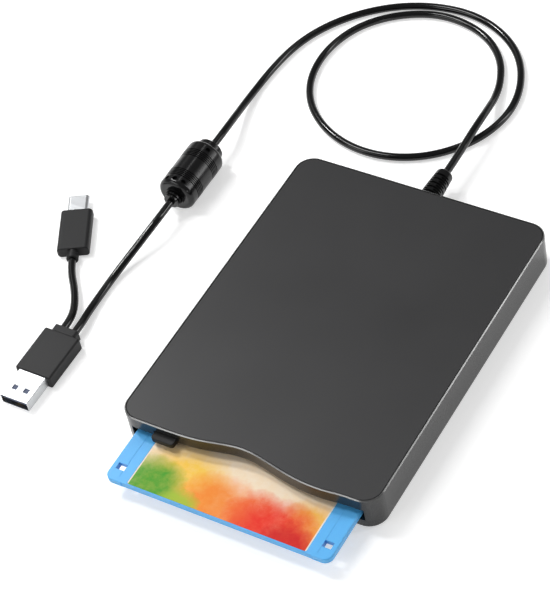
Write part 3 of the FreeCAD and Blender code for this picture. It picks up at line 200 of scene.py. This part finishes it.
class Finish:
    """A node material under construction, with its principled shader and object coordinates."""

    def __init__(self, name, roughness, metallic=0.0, specular=SPECULAR):
        self.material = bpy.data.materials.new(name)
        self.material.use_nodes = True
        self.tree = self.material.node_tree
        self.shader = self.tree.nodes["Principled BSDF"]
        self.shader.inputs["Roughness"].default_value = roughness
        self.shader.inputs["Metallic"].default_value = metallic
        self.shader.inputs["Specular IOR Level"].default_value = specular
        self.place = self.tree.nodes.new("ShaderNodeTexCoord").outputs["Object"]

    def feed(self, socket, value):
        """Links a node's output into the socket, or writes a constant there."""
        if isinstance(value, bpy.types.NodeSocket):
            self.tree.links.new(value, socket)
        else:
            socket.default_value = value

    def node(self, kind, **inputs):
        """A new node with these inputs; an underscore stands for the space in a socket's name."""
        made = self.tree.nodes.new(kind)
        for name, value in inputs.items():
            self.feed(made.inputs[name.replace("_", " ")], value)
        return made

    def operation(self, kind, name, values):
        """A new Math or Vector Math node, with its inputs fed in order."""
        made = self.tree.nodes.new(kind)
        made.operation = name
        for socket, value in zip(made.inputs, values):
            self.feed(socket, value)
        return made

    def maths(self, name, *values):
        return self.operation("ShaderNodeMath", name, values).outputs["Value"]

    def along(self, axis):
        """The object coordinate along 'X', 'Y' or 'Z'."""
        return self.node("ShaderNodeSeparateXYZ", Vector=self.place).outputs[axis]

    def stretched(self, scale):
        """Object coordinates multiplied by a factor along each axis."""
        return self.node("ShaderNodeMapping", Vector=self.place, Scale=scale).outputs["Vector"]

    def noise(self, per_metre, detail=2.0, roughness=0.5, vector=None, output="Fac"):
        made = self.node("ShaderNodeTexNoise", Vector=vector or self.place, Scale=per_metre, Detail=detail,
                         Roughness=roughness)
        return made.outputs[output]

    def ramp(self, factor, stops):
        """A grey that runs through the given (position, grey) stops."""
        made = self.node("ShaderNodeValToRGB", Fac=factor)
        elements = made.color_ramp.elements
        for position, _ in stops[1:-1]:
            elements.new(position)
        for element, (position, grey) in zip(elements, stops):
            element.position = position
            element.color = (grey, grey, grey, 1.0)
        return made.outputs["Color"]

    def level(self, factor, low, high, start=NOISE_LOW, end=NOISE_HIGH):
        """A number that goes from low to high as factor goes from start to end."""
        made = self.node("ShaderNodeMapRange", Value=factor, From_Min=start, From_Max=end, To_Min=low,
                         To_Max=high)
        return made.outputs["Result"]

    def mix(self, factor, first, second):
        made = self.tree.nodes.new("ShaderNodeMix")
        made.data_type = "RGBA"
        self.feed(made.inputs[MIX_FACTOR], factor)
        self.feed(made.inputs[MIX_FIRST], first)
        self.feed(made.inputs[MIX_SECOND], second)
        return made.outputs[MIX_RESULT]

    def colour(self, value):
        self.feed(self.shader.inputs["Base Color"], value)

    def rough(self, value):
        self.feed(self.shader.inputs["Roughness"], value)

    def soft_edges(self, radius):
        """Light catches on edges as if they were rounded by that radius."""
        made = self.node("ShaderNodeBevel", Radius=radius)
        made.samples = SOFT_EDGE_SAMPLES
        self.tree.links.new(made.outputs["Normal"], self.shader.inputs["Normal"])

    def bump(self, height, depth):
        """Relief of the given depth in metres, over the soft edges where the shader already has them."""
        made = self.node("ShaderNodeBump", Height=height, Distance=depth)
        before = self.shader.inputs["Normal"].links
        if before:
            self.tree.links.new(before[0].from_socket, made.inputs["Normal"])
        self.tree.links.new(made.outputs["Normal"], self.shader.inputs["Normal"])


# patches of shine per metre, their detail, and how far the roughness swings either way in them
SHINE_PATCHES = 25.0
SHINE_DETAIL = 4.0
SHINE_SWING = 0.03
# clouds of tone per metre, and their detail
TONE_CLOUDS = 60.0
TONE_DETAIL = 3.0


def uneven_shine(finish, roughness):
    patches = finish.noise(SHINE_PATCHES, SHINE_DETAIL)
    finish.rough(finish.level(patches, roughness - SHINE_SWING, roughness + SHINE_SWING))


def plastic(name, hex_colour, roughness, grain, relief, mottle=0.06, specular=SPECULAR, edge=0.0):
    """Moulded plastic: grain (per metre, with its relief in metres), slight unevenness of tone and shine."""
    finish = Finish(name, roughness, specular=specular)
    if edge:
        finish.soft_edges(edge)
    base = linear(hex_colour)
    cloud = finish.noise(TONE_CLOUDS, TONE_DETAIL)
    finish.colour(finish.mix(cloud, shaded(base, 1 - mottle), shaded(base, 1 + mottle)))
    uneven_shine(finish, roughness)
    finish.bump(finish.noise(grain), relief)
    return finish


# lines of rolled metal per metre along each axis, their detail and depth, and how far tone and roughness
# swing down and up with them
ROLLED_LINES = (40.0, 2600.0, 40.0)
ROLLED_DETAIL = 3.0
ROLLED_RELIEF = 4 * MICRON
ROLLED_TONES = (0.9, 1.06)
ROLLED_SWINGS = (-0.05, 0.06)


def sheet_metal(name, hex_colour, roughness, lines=ROLLED_LINES, relief=ROLLED_RELIEF, edge=0.0):
    """Rolled metal: fine lines along the sheet, which also change its tone and shine a little."""
    finish = Finish(name, roughness, metallic=1.0)
    if edge:
        finish.soft_edges(edge)
    base = linear(hex_colour)
    streak = finish.noise(1.0, ROLLED_DETAIL, vector=finish.stretched(lines))
    finish.colour(finish.mix(streak, *[shaded(base, tone) for tone in ROLLED_TONES]))
    finish.rough(finish.level(streak, *[roughness + swing for swing in ROLLED_SWINGS]))
    finish.bump(streak, relief)
    return finish


# ------------------------------------------------------------------ case

SHELL_COLOUR = "464646"
SHELL_METALLIC = 0.7
SHELL_EDGE = 0.08 * MM
# lowest and highest roughness, and patches of it per metre
SHELL_ROUGHNESS = (0.22, 0.28)
SHELL_SHINE_PATCHES = 30.0
# grain per metre and its relief
SHELL_GRAIN = 5200.0
SHELL_RELIEF = 4 * MICRON
# flakes in the shell's paint per metre, the range of their noise that counts, and their two tones
SHELL_FLAKES = 2600.0
SHELL_FLAKE_RANGE = (0.35, 0.65)
SHELL_FLAKE_TONES = (0.66, 1.28)
# the chamfer round the top edge, the lighter colour painted on it as a highlight, and how far that colour
# fades out below it
RIM_CHAMFER = 0.35 * MM
RIM_FADE = 0.07 * MM
RIM_HIGHLIGHT_COLOUR = "747474"


def case_shell():
    """Metallic paint, with a painted highlight: a lighter colour on the chamfer round the top edge."""
    finish = Finish("case_shell", sum(SHELL_ROUGHNESS) / 2, metallic=SHELL_METALLIC)
    finish.soft_edges(SHELL_EDGE)
    flake = finish.level(finish.noise(SHELL_FLAKES), 0.0, 1.0, *SHELL_FLAKE_RANGE)
    dark, bright = [shaded(linear(SHELL_COLOUR), tone) for tone in SHELL_FLAKE_TONES]
    chamfer_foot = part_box("lower_case")[1][2] - RIM_CHAMFER
    # painted highlight: the chamfer takes a lighter colour in place of the light it would catch
    rim_highlight = finish.level(finish.along("Z"), 0.0, 1.0, chamfer_foot - RIM_FADE, chamfer_foot)
    finish.colour(finish.mix(rim_highlight, finish.mix(flake, dark, bright), linear(RIM_HIGHLIGHT_COLOUR)))
    finish.rough(finish.level(finish.noise(SHELL_SHINE_PATCHES, SHINE_DETAIL), *SHELL_ROUGHNESS))
    finish.bump(finish.noise(SHELL_GRAIN), SHELL_RELIEF)
    return finish


def cover_panel():
    return plastic("cover_panel", "2a2a2b", roughness=0.4, grain=4200.0, relief=5 * MICRON, mottle=0.03,
                   specular=0.42, edge=0.12 * MM)


def button_plastic():
    return plastic("button_plastic", "161617", roughness=0.55, grain=5200.0, relief=6 * MICRON, mottle=0.04,
                   specular=0.3, edge=0.15 * MM)


def soft_rubber():
    return plastic("soft_rubber", "161616", roughness=0.75, grain=3800.0, relief=30 * MICRON, mottle=0.08,
                   specular=0.3)


# ------------------------------------------------------------------ mechanism and electronics


def zinc_steel():
    return sheet_metal("zinc_steel", "9aa0a6", roughness=0.36, edge=0.1 * MM)


def bright_steel():
    return sheet_metal("bright_steel", "c8ccd0", roughness=0.2)


def screw_steel():
    return sheet_metal("screw_steel", "50545a", roughness=0.35, edge=0.1 * MM)


def aluminium_part():
    return sheet_metal("aluminium_part", "b4b8bc", roughness=0.4, lines=(700.0, 700.0, 700.0), edge=0.1 * MM)


def copper_coil():
    return sheet_metal("copper_coil", "b06a3c", roughness=0.35, lines=(300.0, 300.0, 9000.0),
                       relief=30 * MICRON)


def magnet_dark():
    return plastic("magnet_dark", "303034", roughness=0.5, grain=3000.0, relief=10 * MICRON)


def ceramic_head():
    return plastic("ceramic_head", "e8e4dc", roughness=0.25, grain=2000.0, relief=2 * MICRON)


def engineering_plastic():
    return plastic("engineering_plastic", "d8d4c8", roughness=0.4, grain=3000.0, relief=6 * MICRON,
                   edge=0.1 * MM)


def chip_black():
    return plastic("chip_black", "1a1a1c", roughness=0.5, grain=5000.0, relief=10 * MICRON, edge=0.1 * MM)


def ribbon_film():
    return plastic("ribbon_film", "d9dde2", roughness=0.3, grain=800.0, relief=4 * MICRON)


# a grid of fields in two greens with paler tracks between them: its scale, and the tracks' width in it
BOARD_GREENS = ("1e5a38", "256b43")
BOARD_TRACK_COLOUR = "3f8a5c"
BOARD_GRID_SCALE = 260.0
BOARD_TRACK_WIDTH = 0.06
BOARD_ROUGHNESS = 0.35
BOARD_GRAIN = 900.0
BOARD_RELIEF = 10 * MICRON


def board_green():
    """Solder mask over a grid of tracks."""
    finish = Finish("board_green", BOARD_ROUGHNESS)
    first, second = [linear(green) for green in BOARD_GREENS]
    grid = finish.node("ShaderNodeTexBrick", Vector=finish.place, Scale=BOARD_GRID_SCALE, Color1=first,
                       Color2=second, Mortar=linear(BOARD_TRACK_COLOUR), Mortar_Size=BOARD_TRACK_WIDTH)
    finish.colour(grid.outputs["Color"])
    uneven_shine(finish, BOARD_ROUGHNESS)
    finish.bump(finish.noise(BOARD_GRAIN), BOARD_RELIEF)
    return finish


# ------------------------------------------------------------------ diskette

DISK_SUBSURFACE_WEIGHT = 0.08
DISK_SUBSURFACE_RADIUS = (0.6 * MM, 0.8 * MM, 1.0 * MM)


def disk_blue():
    """Blue plastic that lets a little light in under its surface."""
    finish = plastic("disk_blue", "58b6f6", roughness=0.34, grain=3600.0, relief=8 * MICRON, mottle=0.02,
                     edge=0.12 * MM)
    finish.shader.inputs["Subsurface Weight"].default_value = DISK_SUBSURFACE_WEIGHT
    finish.shader.inputs["Subsurface Radius"].default_value = DISK_SUBSURFACE_RADIUS
    return finish


def shutter_metal():
    return sheet_metal("shutter_metal", "c4c8cc", roughness=0.3, edge=0.1 * MM)


def media_film():
    """Smooth brown film with faint clouds of tone."""
    finish = Finish("media_film", roughness=0.22, specular=0.6)
    finish.colour(finish.mix(finish.noise(per_metre=40.0), linear("241d19"), linear("2e2621")))
    return finish


LABEL_PAPER_COLOUR = "fceedc"
LABEL_TINT_COLOUR = "fadcb0"
LABEL_RULE_COLOUR = "b9aa98"
# blooms of the print, in millimetres: place across from the label's middle, place back from its front edge
# and radius; then their colour
LABEL_BLOOMS = (
    (-18, 4, 22, "f6c53c"),
    (32, 7, 14, "f2b440"),
    (-2, 1, 18, "f3862a"),
    (11, 6, 11, "f0622a"),
    (22, -2, 19, "ea2a18"),
    (-30, -1, 17, "3f9c22"),
    (-15, -2, 9, "9fbf34"),
    (28, -3, 12, "d01a16"),
)
# a bloom's ink between its outline and its centre: share of the way inward, and strength there
LABEL_INK_STOPS = ((0.0, 0.0), (0.12, 0.35), (0.45, 1.0))
LABEL_INK_WEAKEST = 0.82
# a noise shifts the print by nothing up to this much, so by half of it on average
LABEL_DRIFT = 9 * MM
# the rows start behind the print; a rule takes up this share of its row
LABEL_PRINT_DEPTH = 22 * MM
LABEL_ROW = 6 * MM
LABEL_RULE_SHARE = 0.05
# bare paper at the label's two sides, and the share of its width by which its edge is blurred either way
LABEL_MARGIN = 0.45 * MM
LABEL_MARGIN_BLUR = 0.1


def label_bloom(finish, pigment, drifted, centre, radius):
    """Strength of a bloom's ink, grained by the pigment: full near the centre, none beyond the radius."""
    away = finish.operation("ShaderNodeVectorMath", "DISTANCE", (drifted, centre)).outputs["Value"]
    inward = finish.level(away, 1.0, 0.0, 0.0, radius)
    ink = finish.ramp(inward, LABEL_INK_STOPS)
    return finish.maths("MULTIPLY", ink, finish.level(pigment, LABEL_INK_WEAKEST, 1.0))


def label_rules(finish, rows_start):
    """One on the thin rules between the rows behind the print, else zero."""
    behind = finish.maths("SUBTRACT", finish.along("Y"), rows_start)
    row = finish.maths("FRACT", finish.maths("DIVIDE", behind, LABEL_ROW))
    return finish.maths("MULTIPLY", finish.maths("LESS_THAN", row, LABEL_RULE_SHARE),
                        finish.maths("GREATER_THAN", behind, LABEL_ROW / 2))


def label_printed(finish, left, right):
    """One between the margins at the label's two sides, else zero."""
    across = finish.along("X")
    beside = finish.maths("MINIMUM", finish.maths("SUBTRACT", across, left),
                          finish.maths("SUBTRACT", right, across))
    return finish.level(beside, 0.0, 1.0, LABEL_MARGIN * (1 - LABEL_MARGIN_BLUR),
                        LABEL_MARGIN * (1 + LABEL_MARGIN_BLUR))


def label_paper():
    """Printed label: soft blooms of watercolour along the front edge, and ruled rows to write on behind."""
    finish = Finish("label_paper", roughness=0.45, specular=0.2)
    (left, front, _), (right, _, top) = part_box("disk_label")
    middle = (left + right) / 2
    paper = linear(LABEL_PAPER_COLOUR)
    pigment = finish.noise(per_metre=420.0, detail=6.0, roughness=0.65)
    drift = finish.noise(per_metre=95.0, detail=5.0, roughness=0.6, output="Color")
    drifted = finish.operation("ShaderNodeVectorMath", "MULTIPLY_ADD",
                               (drift, (LABEL_DRIFT, LABEL_DRIFT, 0.0), finish.place)).outputs["Vector"]
    colour = finish.mix(pigment, paper, linear(LABEL_TINT_COLOUR))
    for across, back, radius, bloom_colour in LABEL_BLOOMS:
        centre = (middle + across * MM + LABEL_DRIFT / 2, front + back * MM + LABEL_DRIFT / 2, top)
        ink = label_bloom(finish, pigment, drifted, centre, radius * MM)
        colour = finish.mix(ink, colour, linear(bloom_colour))
    colour = finish.mix(label_rules(finish, front + LABEL_PRINT_DEPTH), colour, linear(LABEL_RULE_COLOUR))
    finish.colour(finish.mix(label_printed(finish, left, right), paper, colour))
    finish.bump(finish.noise(per_metre=2500.0, detail=3.0), depth=8 * MICRON)
    return finish


# ------------------------------------------------------------------ cable


def cord_black():
    return plastic("cord_black", "060607", roughness=0.14, grain=1500.0, relief=MICRON, mottle=0.1,
                   specular=0.4)


BEAD_COLOUR = "0d0d0e"
BEAD_ROUGHNESS = 0.2
BEAD_SPECULAR = 0.36
BEAD_GRAIN = 2600.0
BEAD_RELIEF = 2 * MICRON
# the rings turned into the bead's jacket, as in the solids: where each set starts, its length, its pitch
# and the share of the pitch that a ring takes up; and the painted shade and the roughness down inside them
BEAD_RING_STARTS = (40.4 * MM, 51.2 * MM)
BEAD_RING_SET = 4.0 * MM
BEAD_RING_PITCH = 0.8 * MM
BEAD_RING_SHARE = 0.5
BEAD_RING_SHADE_COLOUR = "060606"
BEAD_RING_ROUGHNESS = 0.34


def bead_rings(finish):
    """One down in the bead's rings, else zero."""
    down = 0.0
    along = finish.along("Y")
    for start in BEAD_RING_STARTS:
        past = finish.maths("SUBTRACT", along, start)
        turn = finish.maths("FRACT", finish.maths("DIVIDE", past, BEAD_RING_PITCH))
        ring = finish.maths("LESS_THAN", turn, BEAD_RING_SHARE)
        reach = finish.maths("MULTIPLY", finish.maths("GREATER_THAN", past, 0.0),
                             finish.maths("LESS_THAN", past, BEAD_RING_SET))
        down = finish.maths("ADD", down, finish.maths("MULTIPLY", ring, reach))
    return down


def bead_black():
    """Glossy moulded jacket, duller down in its rings, which are darkened by painted shade."""
    finish = Finish("bead_black", BEAD_ROUGHNESS, specular=BEAD_SPECULAR)
    down = bead_rings(finish)
    # painted shade: the rings take a darker colour than the jacket
    finish.colour(finish.mix(down, linear(BEAD_COLOUR), linear(BEAD_RING_SHADE_COLOUR)))
    finish.rough(finish.level(down, BEAD_ROUGHNESS, BEAD_RING_ROUGHNESS, 0.0, 1.0))
    finish.bump(finish.noise(BEAD_GRAIN), BEAD_RELIEF)
    return finish


def ferrite():
    return plastic("ferrite", "3a3a3c", roughness=0.6, grain=3000.0, relief=20 * MICRON)


def plug_grip():
    return plastic("plug_grip", "202021", roughness=0.5, grain=5200.0, relief=8 * MICRON, mottle=0.04,
                   specular=0.25, edge=0.2 * MM)


def plug_shell():
    return sheet_metal("plug_shell", "c8cacc", roughness=0.32, lines=(20.0, 900.0, 20.0), relief=MICRON,
                       edge=0.12 * MM)


def plug_tongue():
    return plastic("plug_tongue", "182f56", roughness=0.4, grain=4000.0, relief=5 * MICRON)


def plug_tongue_black():
    return plastic("plug_tongue_black", "1c1c1e", roughness=0.4, grain=4000.0, relief=5 * MICRON)


def gold_contact():
    return sheet_metal("gold_contact", "d9b45a", roughness=0.2)


# ------------------------------------------------------------------ finishes onto the pieces

# each function makes the finish of the material slot that it is named after
FINISH_MAKERS = (
    case_shell, cover_panel, button_plastic, soft_rubber,
    zinc_steel, bright_steel, screw_steel, aluminium_part, copper_coil, magnet_dark, ceramic_head,
    engineering_plastic, chip_black, ribbon_film, board_green,
    disk_blue, shutter_metal, media_film, label_paper,
    cord_black, bead_black, ferrite, plug_grip, plug_shell, plug_tongue, plug_tongue_black, gold_contact,
)


def dress_nodes():
    """Gives every CAD node the finish of its material slot in the record; returns the finishes by slot."""
    makers = {maker.__name__: maker for maker in FINISH_MAKERS}
    finishes = {}
    for part in frame["record"]["subparts"]:
        name = part["material_slot"]
        if name not in finishes:
            finishes[name] = makers[name]().material
        for holder in frame["nodes"][part["node"]].material_slots:
            holder.material = finishes[name]
    return finishes


# ------------------------------------------------------------------ cords

CORD_DIAMETER = 3.0 * MM
# drawn lengths: from the strain relief to the USB-A plug, and from plug to plug
CORD_ROUND_STEPS = 6
CORD_CURVE_STEPS = 16

# route points in millimetres: the CAD source's, and two more that keep the cord straight inside its bead
CORD_ROUTE = (
    (-0.8, 84.3, 7.5), (-0.8, 94, 7.5), (-1.0, 105, 8.0), (-1.4, 114, 7.5),
    (-2.6, 123, 5.2), (-4.2, 132, 2.3), (-6.6, 141.5, 1.5), (-12, 152.5, 1.5), (-21.5, 161.5, 1.5),
    (-33.5, 166.5, 1.5), (-47, 167.5, 1.5), (-60, 163, 1.5), (-71, 154.5, 1.5), (-77.5, 144, 1.5),
    (-80.5, 130.5, 1.5), (-78.5, 116, 1.5), (-71.5, 103.5, 1.5), (-60, 94, 1.5), (-46.5, 88.8, 1.5),
    (-32.5, 88.2, 1.5), (-19, 92.3, 1.5), (-7.5, 100.8, 1.5), (1, 113, 1.5), (4.5, 127.5, 1.5),
    (2.2, 142, 1.5), (-5.5, 156.5, 1.5), (-18, 166.8, 1.5), (-33, 172.2, 1.5), (-48.5, 171.8, 1.5),
    (-63, 167.2, 1.5), (-75.5, 159, 1.5), (-85.5, 148, 1.5), (-92.3, 135, 1.5), (-95.5, 119.5, 1.5),
    (-96.2, 98.5, 1.5), (-92, 75, 7.6), (-92, 66, 7.6), (-92, 30, 7.6), (-92, 20.5, 7.6),
    (-96.4, -3, 1.5), (-96, -16.5, 1.5), (-95.3, -23.5, 2.2), (-94.2, -29.8, 2.9), (-94.2, -34.9, 2.9),
)
PIGTAIL_ROUTE = (
    (-99.2, -34.9, 2.9), (-99.2, -29.6, 2.9), (-101.1, -23.6, 2.9), (-105.9, -16.3, 2.6),
    (-112.69, -8.5, 2.4), (-115.32, -3.56, 2.4),
)


def make_cord(name, route, finish):
    """A round cord along a smooth curve whose control points are the route's points."""
    data = bpy.data.curves.new(name, "CURVE")
    data.dimensions = "3D"
    data.bevel_depth = CORD_DIAMETER / 2
    data.bevel_resolution = CORD_ROUND_STEPS
    data.resolution_u = CORD_CURVE_STEPS
    data.use_fill_caps = True
    spline = data.splines.new("NURBS")
    spline.points.add(len(route) - 1)
    for point, place in zip(spline.points, route):
        point.co = (*[value * MM for value in place], 1.0)
    spline.order_u = 3
    spline.use_endpoint_u = True
    data.materials.append(finish)
    piece = bpy.data.objects.new(name, data)
    bpy.context.collection.objects.link(piece)
    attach(piece, "case")
    return piece


def make_cords(finishes):
    main = make_cord("usb_cord", CORD_ROUTE, finishes["cord_black"])
    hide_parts("cord")
    pigtail = make_cord("usb_pigtail", PIGTAIL_ROUTE, finishes["cord_black"])
    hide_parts("pigtail_cord")


# ------------------------------------------------------------------ all together

bpy.context.scene.view_settings.view_transform = "Standard"
make_camera()
make_stage()
make_world()
make_softboxes()
make_cords(dress_nodes())
